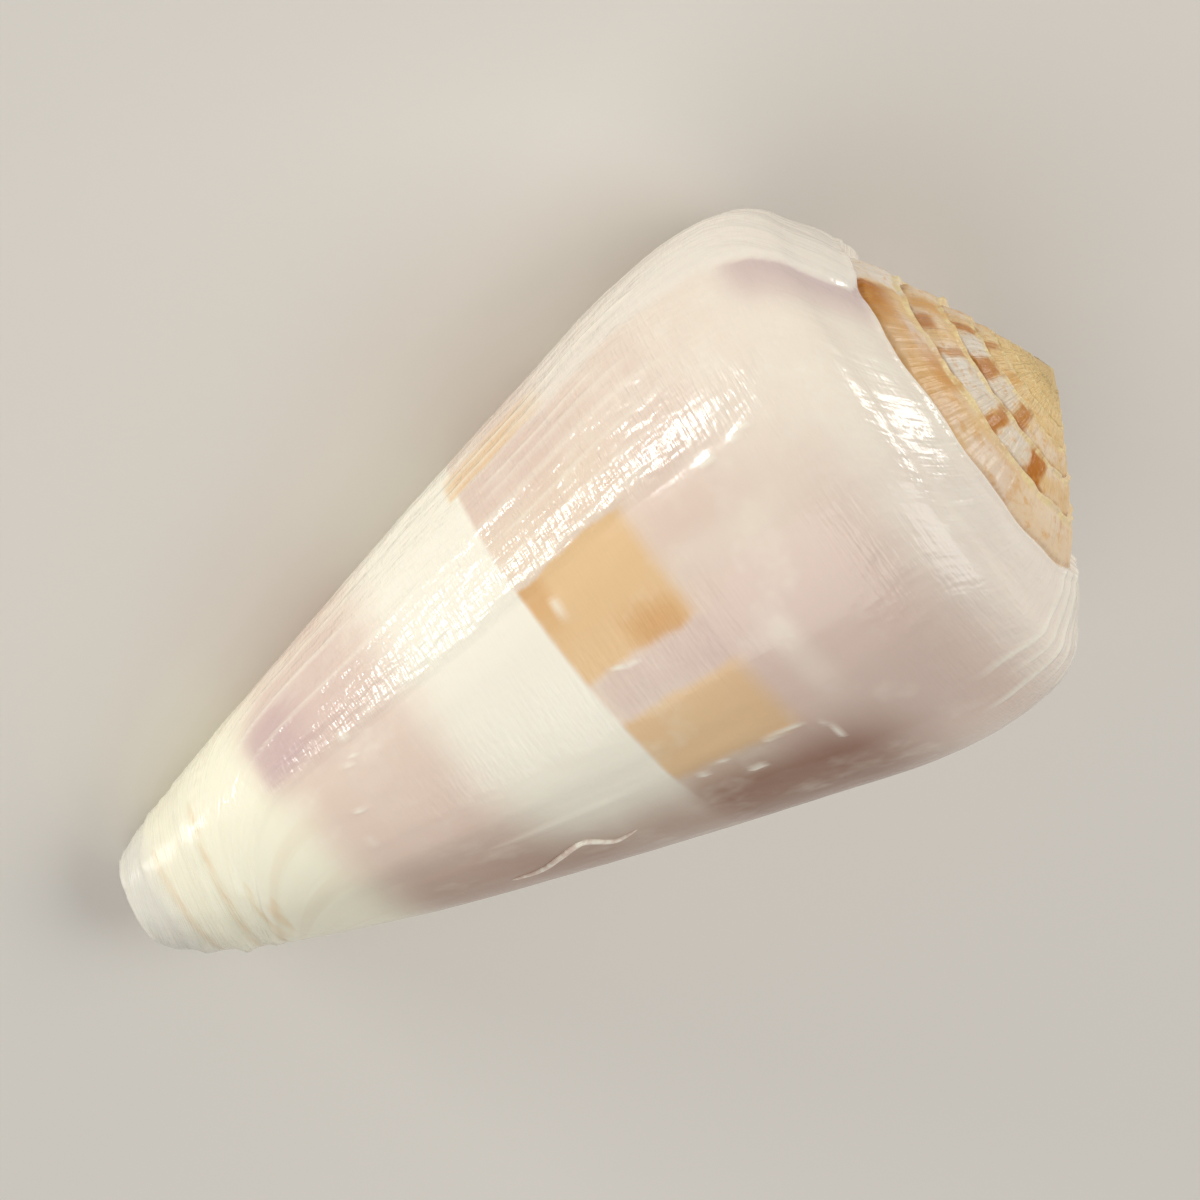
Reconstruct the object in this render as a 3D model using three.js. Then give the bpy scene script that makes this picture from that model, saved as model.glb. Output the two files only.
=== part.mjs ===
import * as THREE from "three";

// Cone shell, one solid.  Millimetres, +Z up.
// The shell is worked out in its own frame first: x runs along the coiling axis from the
// narrow front end (0) to the apex, r is the distance from the axis, and "turns" counts whole
// turns back from the outer lip (0 at the lip, 1 one turn earlier, and so on to the apex).

// Driving sizes
const SHELL_LENGTH = 62;
const BODY_RADIUS = 16.7;
const FRONT_RADIUS = 3.2;
const LIP_THICKNESS = 0.9;
const SPIRE_WHORLS = 7;

// Side of the last whorl, a curve from the front rim to the start of the shoulder
const BODY_LENGTH = SHELL_LENGTH * 0.63;
const BODY_CLIMB = 3.2;
const BODY_GROWTH = 1.24;
const FRONT_SLOPE = 0.78;
const BODY_SLOPE = 0.263;
const FRONT_HANDLE = 0.136;
const BODY_HANDLE = 0.336;

// Suture, the line where each whorl meets the one before it
const SUTURE_RADIUS = 12.1;
const SUTURE_DEPTH = 6.5;
const SUTURE_RADIUS_GROWTH = 1.35;
const SUTURE_DEPTH_GROWTH = 1.386;

// The suture wanders up and down a little, and each band of the spire swells towards a ledge
// beside the suture above it, by a share of the band's width
const SUTURE_WAVE = 0.16;
const SUTURE_WAVES_PER_TURN = [5.3, 12.7];
const WHORL_SWELL = 0.08;
const LEDGE_POWER = 1.5;

// Rounded shoulder, ending at an edge that the next whorl just leaves uncovered
const EDGE_RADIUS = 16.1;
const EDGE_OVERLAP = 0.3;
const EDGE_GROWTH = EDGE_RADIUS / (SUTURE_RADIUS + EDGE_OVERLAP);
const SHOULDER_OUT_HANDLE = 0.593;
const SHOULDER_IN_HANDLE = 0.154;

// Chamber behind the slit of the aperture, as turns back from the lip and rows of the whorl
const APERTURE_TURNS = 0.6;
const ROOF_START = 1.35;
const CHAMBER_TOP = 1.85;
const LIP_ROUNDING = 0.45;

// Front end, where the last whorl wraps round the end of the central pillar
const FRONT_SHRINK = 1.7;
const FRONT_SHRINK_POWER = 2.2;
const PILLAR_SHRINK = 0.75;
const FRONT_DOME = 0.55;
const FRONT_ROUNDING = 0.35;

// Natural unevenness of this shell, towards one side of the axis
const UNEVEN_SIDE = 205;
const FRONT_BEND = -1;
const FRONT_BEND_REACH = 22;
const SPIRE_LEAN = 0.035;
const LEAN_START = BODY_LENGTH * 0.8;
const LEAN_REACH = SHELL_LENGTH - BODY_LENGTH;
const LIP_SWEEP = 0.06;

// Low folds round the front end: x and slope per turn of the crest at the given turns, the turns
// over which it fades in and out, its half width and its height
const FRONT_FOLDS = [
  { turns: 0.33, x: 5.2, slope: -5.5, from: 0.12, to: 0.6, width: 1.1, height: 0.26 },
  { turns: 0.39, x: 6.5, slope: -5, from: 0.28, to: 0.56, width: 0.9, height: 0.2 },
  { turns: 0.32, x: 2.2, slope: -0.5, from: 0.15, to: 0.7, width: 1, height: 0.16 },
];
const FOLD_FADE = 0.08;

// The last layer laid down at the lip stands up a little on the shoulder, up to this many turns back
const FLAP_TURNS = 0.165;
const FLAP_FADE = 0.02;
const FLAP_START = 44;
const FLAP_REACH = 7;
const FLAP_HEIGHT = 0.3;

// Rest pose in degrees, lying on the lip side with the spire end raised
const REST_ROLL = -51.56;
const REST_LEAN = 13.71;

// Mesh steps: those per turn are a multiple of 5, so that the slit ends on a whole one
const STEPS_PER_TURN = 60;
const FRONT_ROWS = 10;
const FRONT_ROWS_END = 5 / 12;
const BODY_ROWS = 7;
const SHOULDER_ROWS = 5;
const ROOF_ROWS = 2;
const WHORL_ROWS = 3;
const DOME_ROWS = 2;

const TURN = Math.PI * 2;
const DEGREE = Math.PI / 180;

// Points closer than this are one point of the mesh, and profile slopes are taken over this step
const WELD_DISTANCE = 1e-4;
const PROFILE_STEP = 0.01;

function mix(a, b, t) {
  return a + (b - a) * t;
}

function smooth(t) {
  const u = Math.min(Math.max(t, 0), 1);
  return u * u * (3 - 2 * u);
}

function bezier(p0, p1, p2, p3, t) {
  const u = 1 - t;
  const at = (i) => u * u * u * p0[i] + 3 * u * u * t * p1[i] + 3 * u * t * t * p2[i] + t * t * t * p3[i];
  return [at(0), at(1)];
}

function along(point, direction, distance) {
  const length = Math.hypot(direction[0], direction[1]);
  return [point[0] + direction[0] / length * distance, point[1] + direction[1] / length * distance];
}

function frontRadius(turns) {
  if (turns <= 1) {
    return FRONT_RADIUS - FRONT_SHRINK * turns ** FRONT_SHRINK_POWER;
  }
  return (FRONT_RADIUS - FRONT_SHRINK) * PILLAR_SHRINK ** (turns - 1);
}

function wave(turns) {
  return SUTURE_WAVES_PER_TURN.reduce((sum, count) => sum + Math.sin(turns * count * TURN), 0) / 2;
}

function suture(turns) {
  const depth = SUTURE_DEPTH + SUTURE_WAVE * wave(turns) * smooth(turns / 0.1);
  const radius = SUTURE_RADIUS * SUTURE_RADIUS_GROWTH ** -turns;
  return [SHELL_LENGTH - depth * SUTURE_DEPTH_GROWTH ** -turns, radius];
}

// The cross-section of one whorl from the front (across = 0) over the start of the shoulder (1)
// and the shoulder edge (2) to the suture (3), as [x, r]
function whorlPoint(turns, across) {
  const front = [0, frontRadius(turns)];
  const body = [BODY_LENGTH + BODY_CLIMB * turns, BODY_RADIUS * BODY_GROWTH ** -turns];
  const inner = suture(turns);
  const outer = suture(turns - 1);
  const rampSlope = (inner[0] - outer[0]) / (outer[1] - inner[1]);
  const edgeRadius = EDGE_RADIUS * EDGE_GROWTH ** -turns;
  const edge = [inner[0] - (edgeRadius - inner[1]) * rampSlope, edgeRadius];
  const shoulder = Math.hypot(edge[0] - body[0], edge[1] - body[1]);
  if (across <= 1) {
    const out = along(front, [1, FRONT_SLOPE], body[0] * FRONT_HANDLE);
    const back = along(body, [-1, -BODY_SLOPE], body[0] * BODY_HANDLE);
    return bezier(front, out, back, body, across);
  }
  if (across <= 2) {
    const out = along(body, [1, BODY_SLOPE], shoulder * SHOULDER_OUT_HANDLE);
    const back = along(edge, [-rampSlope, 1], shoulder * SHOULDER_IN_HANDLE);
    return bezier(body, out, back, edge, across - 1);
  }
  return [mix(edge[0], inner[0], across - 2), mix(edge[1], inner[1], across - 2)];
}

// The same point moved inward, square to the profile
function insetPoint(turns, across, distance) {
  const before = whorlPoint(turns, Math.max(across - PROFILE_STEP, 0));
  const after = whorlPoint(turns, Math.min(across + PROFILE_STEP, 3));
  const here = whorlPoint(turns, across);
  return along(here, [after[1] - before[1], before[0] - after[0]], distance);
}

function swell(width, share) {
  return WHORL_SWELL * width * Math.sin(Math.PI * share ** LEDGE_POWER);
}

// Height of the low relief on the outside of the last whorl
function relief(turns, x) {
  const folds = FRONT_FOLDS.map((fold) => {
    const crest = fold.x + fold.slope * (turns - fold.turns);
    const reach = smooth((turns - fold.from) / FOLD_FADE) * smooth((fold.to - turns) / FOLD_FADE);
    return fold.height * reach * smooth(1 - Math.abs(x - crest) / fold.width);
  });
  const flap = smooth((FLAP_TURNS - turns) / FLAP_FADE) * smooth((x - FLAP_START) / FLAP_REACH);
  return Math.max(...folds) + FLAP_HEIGHT * flap;
}

// A point of the exposed band of an inner whorl, between two turns of the suture
function spirePoint(turns, share) {
  const outer = suture(turns);
  const inner = suture(turns + 1);
  return [mix(outer[0], inner[0], share) + swell(outer[1] - inner[1], share), mix(outer[1], inner[1], share)];
}

// Where the next whorl's suture lies on the whorl one turn back, as a value of "across"
function attachAcross() {
  const edgeRadius = whorlPoint(1, 2)[1];
  return 2 + (edgeRadius - suture(0)[1]) / (edgeRadius - suture(1)[1]);
}

// From shell coordinates to a point in space, with the shell's natural unevenness
function place(turns, point) {
  const [x, radius] = point;
  const sweep = LIP_SWEEP * Math.sin(Math.PI * Math.min(Math.max(x / BODY_LENGTH, 0), 1));
  const angle = turns * TURN + sweep;
  const uneven = UNEVEN_SIDE * DEGREE;
  const bend = FRONT_BEND * Math.max(1 - x / FRONT_BEND_REACH, 0) ** 2;
  const lean = SPIRE_LEAN * smooth((x - LEAN_START) / LEAN_REACH);
  return new THREE.Vector3(
    x + lean * radius * Math.cos(angle - uneven),
    radius * Math.cos(angle) + bend * Math.cos(uneven),
    radius * Math.sin(angle) + bend * Math.sin(uneven));
}

class Surface {
  constructor() {
    this.positions = [];
    this.faces = [];
    this.known = new Map();
  }

  vertex(point) {
    const key = [point.x, point.y, point.z].map((value) => Math.round(value / WELD_DISTANCE)).join(" ");
    if (!this.known.has(key)) {
      this.known.set(key, this.positions.length / 3);
      this.positions.push(point.x, point.y, point.z);
    }
    return this.known.get(key);
  }

  triangle(a, b, c) {
    const corners = [this.vertex(a), this.vertex(b), this.vertex(c)];
    if (new Set(corners).size === 3) {
      this.faces.push(...corners);
    }
  }

  // Columns of points ordered round the axis, with rows from the front to the apex
  grid(columns) {
    for (let i = 0; i + 1 < columns.length; i++) {
      for (let j = 0; j + 1 < columns[i].length; j++) {
        this.triangle(columns[i][j], columns[i + 1][j], columns[i + 1][j + 1]);
        this.triangle(columns[i][j], columns[i + 1][j + 1], columns[i][j + 1]);
      }
    }
  }
}

function spread(from, to, count) {
  return Array.from({ length: count + 1 }, (_, i) => mix(from, to, i / count));
}

function turnSteps(from, to) {
  return spread(from, to, Math.round((to - from) * STEPS_PER_TURN));
}

// Rows that the outside of a whorl shares with the pillar wall inside the chamber
function sharedRows() {
  const front = spread(0, FRONT_ROWS_END, FRONT_ROWS);
  const body = spread(FRONT_ROWS_END, 1, BODY_ROWS).slice(1);
  const shoulder = spread(1, CHAMBER_TOP, SHOULDER_ROWS).slice(1);
  return [...front, ...body, ...shoulder];
}

// Wall of the chamber on the outer side, closing onto the pillar at the roof and the inner end
function chamberPoint(turns, across) {
  const close = smooth(turns / APERTURE_TURNS);
  const roof = smooth((across - ROOF_START) / (CHAMBER_TOP - ROOF_START));
  const wall = insetPoint(turns, across, LIP_THICKNESS);
  const pillar = whorlPoint(turns + 1, across);
  const share = Math.max(close, roof);
  return [mix(wall[0], pillar[0], share), mix(wall[1], pillar[1], share)];
}

function outsideColumn(turns) {
  const attach = attachAcross();
  const rows = [...sharedRows(), ...spread(CHAMBER_TOP, attach, ROOF_ROWS).slice(1)];
  const body = rows.map((across) => {
    const height = relief(turns, whorlPoint(turns, across)[0]);
    return place(turns, insetPoint(turns, across, -height));
  });
  const width = suture(turns - 1)[1] - suture(turns)[1];
  const ramp = spread(0, 1, WHORL_ROWS).slice(1).map((share) => {
    const [x, radius] = whorlPoint(turns, mix(attach, 3, share));
    return place(turns, [x + swell(width, share) + relief(turns, x) * (1 - share), radius]);
  });
  return [...body, ...ramp];
}

function addSpire(surface) {
  const columns = turnSteps(0, SPIRE_WHORLS).map((turns) =>
    spread(0, 1, WHORL_ROWS).map((share) => place(turns, spirePoint(turns, share))));
  surface.grid(columns);
  const apex = place(0, [SHELL_LENGTH, 0]);
  const edge = turnSteps(SPIRE_WHORLS, SPIRE_WHORLS + 1).map((turns) => place(turns, suture(turns)));
  surface.grid(edge.map((point) => [point, apex]));
  const step = columns[columns.length - 1];
  surface.grid([step, step.map(() => apex)]);
}

// Front end: the rounded end of the last whorl's wall and the domed end of the pillar
function addFront(surface) {
  const open = turnSteps(0, APERTURE_TURNS).map((turns) => {
    const pillar = whorlPoint(turns + 1, 0);
    return { turns, pillar, wall: chamberPoint(turns, 0) };
  });
  const closed = turnSteps(APERTURE_TURNS, 1).map((turns) => {
    const left = (1 - turns) / (1 - APERTURE_TURNS);
    const pillar = [0, frontRadius(1 + APERTURE_TURNS * left)];
    return { turns, pillar, wall: pillar };
  });
  for (const columns of [open, closed]) {
    surface.grid(columns.map(({ turns, pillar }) => spread(0, 1, DOME_ROWS).map((share) =>
      place(turns, [-FRONT_DOME * (1 - share ** 2), pillar[1] * share]))));
    surface.grid(columns.map(({ turns, wall }) => wallEnd(turns, wall)));
  }
}

function wallEnd(turns, wall) {
  const rim = whorlPoint(turns, 0);
  const width = rim[1] - wall[1];
  const middle = [mix(rim[0], wall[0], 0.5) - width * FRONT_ROUNDING, mix(rim[1], wall[1], 0.5)];
  return [wall, middle, rim].map((point) => place(turns, point));
}

function addChamber(surface) {
  const rows = sharedRows();
  const steps = turnSteps(0, APERTURE_TURNS);
  const wall = steps.map((turns) => rows.map((across) => place(turns, chamberPoint(turns, across))));
  const pillar = steps.map((turns) => rows.map((across) => place(turns, whorlPoint(turns + 1, across))));
  surface.grid(wall.slice().reverse());
  surface.grid(pillar);
}

// Rounded edge of the outer lip, from its outside over a middle column to its inside
function addLip(surface) {
  const rows = sharedRows();
  const outside = outsideColumn(0);
  const inside = outside.map((_, j) => place(0, chamberPoint(0, rows[Math.min(j, rows.length - 1)])));
  const middle = outside.map((point, j) => {
    const between = point.clone().lerp(inside[j], 0.5);
    const forward = new THREE.Vector3(0, between.z, -between.y).setLength(LIP_THICKNESS * LIP_ROUNDING);
    return between.add(forward);
  });
  middle[middle.length - 1] = outsideColumn(1)[rows.length];
  surface.grid([middle, outside]);
  surface.grid([inside, middle]);
  surface.grid([Array(3).fill(middle[0]), wallEnd(0, chamberPoint(0, 0))]);
}

function buildShell() {
  const surface = new Surface();
  surface.grid(turnSteps(0, 1).map(outsideColumn));
  addSpire(surface);
  addFront(surface);
  addChamber(surface);
  addLip(surface);
  const geometry = new THREE.BufferGeometry();
  geometry.setAttribute("position", new THREE.Float32BufferAttribute(surface.positions, 3));
  geometry.setIndex(surface.faces);
  geometry.rotateX(REST_ROLL * DEGREE);
  geometry.rotateY(-REST_LEAN * DEGREE);
  geometry.computeBoundingBox();
  const { min, max } = geometry.boundingBox;
  geometry.translate(-(min.x + max.x) / 2, -(min.y + max.y) / 2, -min.z);
  geometry.computeVertexNormals();
  return geometry;
}

const porcelain = new THREE.MeshStandardMaterial({ color: 0xe8dcd2, roughness: 0.4 });
const shell = new THREE.Mesh(buildShell(), porcelain);
shell.name = "shell";

const part = new THREE.Group();
part.name = "cone_shell";
part.add(shell);

export default part;
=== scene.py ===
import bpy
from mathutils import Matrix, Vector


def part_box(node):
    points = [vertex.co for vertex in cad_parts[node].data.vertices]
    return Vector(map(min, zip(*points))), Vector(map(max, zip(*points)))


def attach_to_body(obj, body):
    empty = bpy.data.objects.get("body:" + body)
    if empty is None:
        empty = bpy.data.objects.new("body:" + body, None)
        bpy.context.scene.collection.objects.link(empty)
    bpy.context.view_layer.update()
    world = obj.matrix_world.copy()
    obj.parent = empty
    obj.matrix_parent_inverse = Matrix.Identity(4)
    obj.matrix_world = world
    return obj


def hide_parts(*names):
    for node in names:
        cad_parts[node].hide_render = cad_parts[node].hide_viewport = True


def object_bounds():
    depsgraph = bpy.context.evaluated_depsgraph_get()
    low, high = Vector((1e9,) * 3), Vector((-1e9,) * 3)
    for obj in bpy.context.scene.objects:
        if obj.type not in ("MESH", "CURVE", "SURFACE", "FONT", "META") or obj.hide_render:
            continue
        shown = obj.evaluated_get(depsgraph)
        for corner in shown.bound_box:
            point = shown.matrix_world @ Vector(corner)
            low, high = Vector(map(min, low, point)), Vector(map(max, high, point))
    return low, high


bl_info = {
    "name": "Cone shell",
    "version": (1, 0, 0),
    "blender": (4, 5, 0),
    "location": "3D View > Sidebar > Shell",
    "description": "A polished cone shell lying on its lip, with its stage, lights and camera",
    "category": "Add Mesh",
}

import math

import bpy
import numpy as np
from bpy.props import FloatProperty, FloatVectorProperty, PointerProperty
from bpy.types import Operator, Panel, PropertyGroup
from mathutils import Matrix, Vector

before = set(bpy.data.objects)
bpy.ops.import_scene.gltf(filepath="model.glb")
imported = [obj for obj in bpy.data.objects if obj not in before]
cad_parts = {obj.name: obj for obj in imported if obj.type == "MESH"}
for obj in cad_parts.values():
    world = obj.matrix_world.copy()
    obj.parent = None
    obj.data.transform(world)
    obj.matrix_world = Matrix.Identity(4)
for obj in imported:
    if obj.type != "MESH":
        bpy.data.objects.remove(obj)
cad_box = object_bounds()

MM = 0.001
TURN = math.tau

# Driving sizes of the shell in millimetres, the same as those of the solid
SHELL_LENGTH = 62.0
BODY_RADIUS = 16.7
FRONT_RADIUS = 3.2
LIP_THICKNESS = 0.9
SPIRE_WHORLS = 7

# Side of the last whorl, from the front rim to the start of the shoulder
BODY_LENGTH = SHELL_LENGTH * 0.63
BODY_CLIMB = 3.2
BODY_GROWTH = 1.24
FRONT_SLOPE = 0.78
BODY_SLOPE = 0.263
FRONT_HANDLE = 0.136
BODY_HANDLE = 0.336

# Suture, the line where each whorl meets the one before it
SUTURE_RADIUS = 12.1
SUTURE_DEPTH = 6.5
SUTURE_RADIUS_GROWTH = 1.35
SUTURE_DEPTH_GROWTH = 1.386
SUTURE_WAVE = 0.16
SUTURE_WAVES_PER_TURN = (5.3, 12.7)
WHORL_SWELL = 0.08
LEDGE_POWER = 1.5

# Rounded shoulder and the edge that the next whorl just leaves uncovered
EDGE_RADIUS = 16.1
EDGE_OVERLAP = 0.3
EDGE_GROWTH = EDGE_RADIUS / (SUTURE_RADIUS + EDGE_OVERLAP)
SHOULDER_OUT_HANDLE = 0.593
SHOULDER_IN_HANDLE = 0.154

# Chamber behind the slit
APERTURE_TURNS = 0.6
ROOF_START = 1.35
CHAMBER_TOP = 1.85
LIP_ROUNDING = 0.45

# Front end
FRONT_SHRINK = 1.7
FRONT_SHRINK_POWER = 2.2
PILLAR_SHRINK = 0.75
FRONT_DOME = 0.55
FRONT_ROUNDING = 0.35

# Natural unevenness, towards one side of the axis
UNEVEN_SIDE = math.radians(205)
FRONT_BEND = -1.0
FRONT_BEND_REACH = 22.0
SPIRE_LEAN = 0.035
LEAN_START = BODY_LENGTH * 0.8
LEAN_REACH = SHELL_LENGTH - BODY_LENGTH
LIP_SWEEP = 0.06

# Rest pose
REST_ROLL = math.radians(-51.56)
REST_LEAN = math.radians(13.71)

# Mesh steps: the side that faces up is finer, the chamber takes every fifth step
APERTURE_STEPS = 210
CLOSED_STEPS = 75
CHAMBER_STEP = 5
BODY_ROWS = 92
SHOULDER_ROWS = 60
ROOF_ROWS = 6
FRONT_ROWS = 6

# Rows across an exposed band, as shares of its width: closest at the ledge and at the groove
BAND_SHARES = (0.0, 0.03, 0.07, 0.12, 0.2, 0.32, 0.45, 0.58, 0.7, 0.78, 0.84, 0.88, 0.92, 0.96, 1.0)

# Rim of the last whorl, ledges and grooves of the spire: heights in mm, places in rows and shares
RIM_HEIGHT = 0.20
RIM_ACROSS = 2.9
RIM_WIDTH = 0.1
LEDGE_HEIGHT = 0.26
LEDGE_SHARE = 0.92
LEDGE_WIDTH = 0.08
GROOVE_DEPTH = 0.20
GROOVE_WIDTH = 0.12

# From this turn on the last whorl's relief passes into that of the spire's first band
OLD_START = 0.93

WELD_DISTANCE = 1e-4
TOLERANCE = 1e-6

# Turns at which a row's distance along the axis is read off, on the side that faces up
LABEL_TURNS = 0.32

# Distances along the axis are kept in centimetres in the shell's place layer
CM = 10.0

# Growth lines sweep back round the front end and on the ramp
FRONT_LINE_SWEEP = 0.0105
FRONT_LINE_X = 12.7
FRONT_LINE_FALL = 2.1
FRONT_LINE_END = 6.4
FRONT_LINE_RUN = 0.16
RAMP_LINE_SWEEP = 0.055
RAMP_LINE_X = 50.0
RAMP_LINE_REACH = 7.5
RAMP_LINE_POWER = 1.5

# Uneven relief of the side: height in mm, steps per turn, mm per step, seed and shift in steps
COARSE_LINES = (0.040, 31.0, 18.0, 11)
FINE_LINES = (0.030, 67.0, 9.0, 12)
WIDE_SWELL = (0.10, 5.0, 13.0, 14, 0.3)
NARROW_SWELL = (0.05, 11.0, 7.0, 15)

# Spiral threads: height in mm, steps per mm and per turn, seed
THREADS = (0.010, 1.3, 9.0, 13)

# The part laid down last is rougher, up to these turns back, and the front end has no fine lines
YOUNG_TURNS = 0.26
YOUNG_EXTRA = 0.8
CALM_FRONT = 4.0

# Uneven relief of the spire: height in mm, steps per turn, steps across the band, seed
BAND_RIBS = ((0.055, 52.0, 1.4, 21), (0.035, 110.0, 2.0, 22))
BAND_LUMPS = (0.13, 13.0, 1.5, 23)
BAND_UNEVEN = (0.8, 53.0, 0.5, 24)
BAND_LINE_SWEEP = 0.02
FULL_RELIEF_WIDTH = 3.2


def unit(t):
    return np.clip(t, 0.0, 1.0)


def smooth(t):
    """A soft step from 0 to 1."""
    u = unit(t)
    return u * u * (3.0 - 2.0 * u)


def mix(a, b, t):
    return a + (b - a) * t


def bump(t):
    """A rounded hill over t from -1 to 1."""
    return smooth(1.0 - np.abs(t))


def within(value, start, end, fade):
    """1 between start and end, fading to 0 just inside them."""
    return smooth((value - start) / fade) * smooth((end - value) / fade)


def wander(u, v, seed):
    """Smooth random values from -1 to 1, one new value at each whole step of u and v."""
    wide, high = 97, 61
    table = np.random.default_rng(seed).uniform(-1.0, 1.0, (wide, high))
    u, v = np.broadcast_arrays(np.asarray(u, float), np.asarray(v, float))
    i = np.floor(u).astype(int)
    j = np.floor(v).astype(int)
    i0, i1, j0, j1 = i % wide, (i + 1) % wide, j % high, (j + 1) % high
    a = smooth(u - i)
    return mix(mix(table[i0, j0], table[i1, j0], a), mix(table[i0, j1], table[i1, j1], a), smooth(v - j))


def layer(turns, x, height, rate, length, seed, shift=0.0):
    """Uneven height by turns and distance, with a length in mm per step along the axis."""
    return height * wander(turns * rate + shift, x / length, seed)


def cross_layer(u, v, height, u_rate, v_rate, seed):
    """Uneven height by two values, with the steps per unit of each."""
    return height * wander(u * u_rate, v * v_rate, seed)


def suture(turns):
    turns = np.asarray(turns, float)
    wave = sum(np.sin(turns * count * TURN) for count in SUTURE_WAVES_PER_TURN) / 2.0
    uneven = SUTURE_WAVE * wave * smooth(turns / 0.1)
    depth = (SUTURE_DEPTH + uneven) * SUTURE_DEPTH_GROWTH ** -turns
    return SHELL_LENGTH - depth, SUTURE_RADIUS * SUTURE_RADIUS_GROWTH ** -turns


def front_radius(turns):
    last = FRONT_RADIUS - FRONT_SHRINK * unit(turns) ** FRONT_SHRINK_POWER
    pillar = (FRONT_RADIUS - FRONT_SHRINK) * PILLAR_SHRINK ** (turns - 1.0)
    return np.where(turns <= 1.0, last, pillar)


def bezier(p0, p1, p2, p3, t):
    u = 1.0 - t
    return u ** 3 * p0 + 3.0 * u * u * t * p1 + 3.0 * u * t * t * p2 + t ** 3 * p3


def along(x, r, dx, dr, distance):
    length = np.hypot(dx, dr)
    return x + dx / length * distance, r + dr / length * distance


def whorl_point(turns, across):
    """Section of a whorl: across 0 is the front, 1 the shoulder's start, 2 its edge, 3 the suture."""
    turns, across = np.broadcast_arrays(np.asarray(turns, float), np.asarray(across, float))
    front_r = front_radius(turns)
    body_x = BODY_LENGTH + BODY_CLIMB * turns
    body_r = BODY_RADIUS * BODY_GROWTH ** -turns
    inner_x, inner_r = suture(turns)
    outer_x, outer_r = suture(turns - 1.0)
    slope = (inner_x - outer_x) / (outer_r - inner_r)
    edge_r = EDGE_RADIUS * EDGE_GROWTH ** -turns
    edge_x = inner_x - (edge_r - inner_r) * slope
    shoulder = np.hypot(edge_x - body_x, edge_r - body_r)

    out = along(0.0, front_r, 1.0, FRONT_SLOPE, body_x * FRONT_HANDLE)
    back = along(body_x, body_r, -1.0, -BODY_SLOPE, body_x * BODY_HANDLE)
    t = unit(across)
    side_x = bezier(0.0, out[0], back[0], body_x, t)
    side_r = bezier(front_r, out[1], back[1], body_r, t)

    out = along(body_x, body_r, 1.0, BODY_SLOPE, shoulder * SHOULDER_OUT_HANDLE)
    back = along(edge_x, edge_r, -slope, 1.0, shoulder * SHOULDER_IN_HANDLE)
    t = unit(across - 1.0)
    shoulder_x = bezier(body_x, out[0], back[0], edge_x, t)
    shoulder_r = bezier(body_r, out[1], back[1], edge_r, t)

    t = unit(across - 2.0)
    x = np.where(across <= 1.0, side_x, np.where(across <= 2.0, shoulder_x, mix(edge_x, inner_x, t)))
    r = np.where(across <= 1.0, side_r, np.where(across <= 2.0, shoulder_r, mix(edge_r, inner_r, t)))
    return x, r


def inner_point(turns, across):
    """The inside of the wall, one thickness in from the whorl's section."""
    step = 0.01
    x0, r0 = whorl_point(turns, np.maximum(across - step, 0.0))
    x1, r1 = whorl_point(turns, np.minimum(across + step, 3.0))
    x, r = whorl_point(turns, across)
    return along(x, r, r1 - r0, x0 - x1, LIP_THICKNESS)


def chamber_point(turns, across):
    """The wall of the chamber, which closes against the pillar at its end and at its roof."""
    close = smooth(turns / APERTURE_TURNS)
    roof = smooth((across - ROOF_START) / (CHAMBER_TOP - ROOF_START))
    share = np.maximum(close, roof)
    wall_x, wall_r = inner_point(turns, across)
    pillar_x, pillar_r = whorl_point(turns + 1.0, across)
    return mix(wall_x, pillar_x, share), mix(wall_r, pillar_r, share)


def place(turns, x, r):
    """Millimetres in the shell's own frame, with its natural unevenness."""
    turns, x, r = np.broadcast_arrays(np.asarray(turns, float), np.asarray(x, float), np.asarray(r, float))
    angle = turns * TURN + LIP_SWEEP * np.sin(np.pi * unit(x / BODY_LENGTH))
    bend = FRONT_BEND * np.maximum(1.0 - x / FRONT_BEND_REACH, 0.0) ** 2
    lean = SPIRE_LEAN * smooth((x - LEAN_START) / LEAN_REACH)
    return np.stack([
        x + lean * r * np.cos(angle - UNEVEN_SIDE),
        r * np.cos(angle) + bend * math.cos(UNEVEN_SIDE),
        r * np.sin(angle) + bend * math.sin(UNEVEN_SIDE),
    ], axis=-1)


def growth_line(turns, x):
    """The growth line that a point lies on, as the turns at which it crosses the whorl's side."""
    front = FRONT_LINE_SWEEP * np.exp((FRONT_LINE_X - np.maximum(x, FRONT_LINE_END)) / FRONT_LINE_FALL)
    front = front + FRONT_LINE_RUN * np.maximum(FRONT_LINE_END - x, 0.0)
    ramp = RAMP_LINE_SWEEP * smooth((x - RAMP_LINE_X) / RAMP_LINE_REACH) ** RAMP_LINE_POWER
    return turns - front - ramp


def attach_across():
    """Where the next whorl's suture lies on the whorl one turn back."""
    edge_r = EDGE_RADIUS / EDGE_GROWTH
    return 2.0 + (edge_r - SUTURE_RADIUS) / (edge_r - SUTURE_RADIUS / SUTURE_RADIUS_GROWTH)


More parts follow.
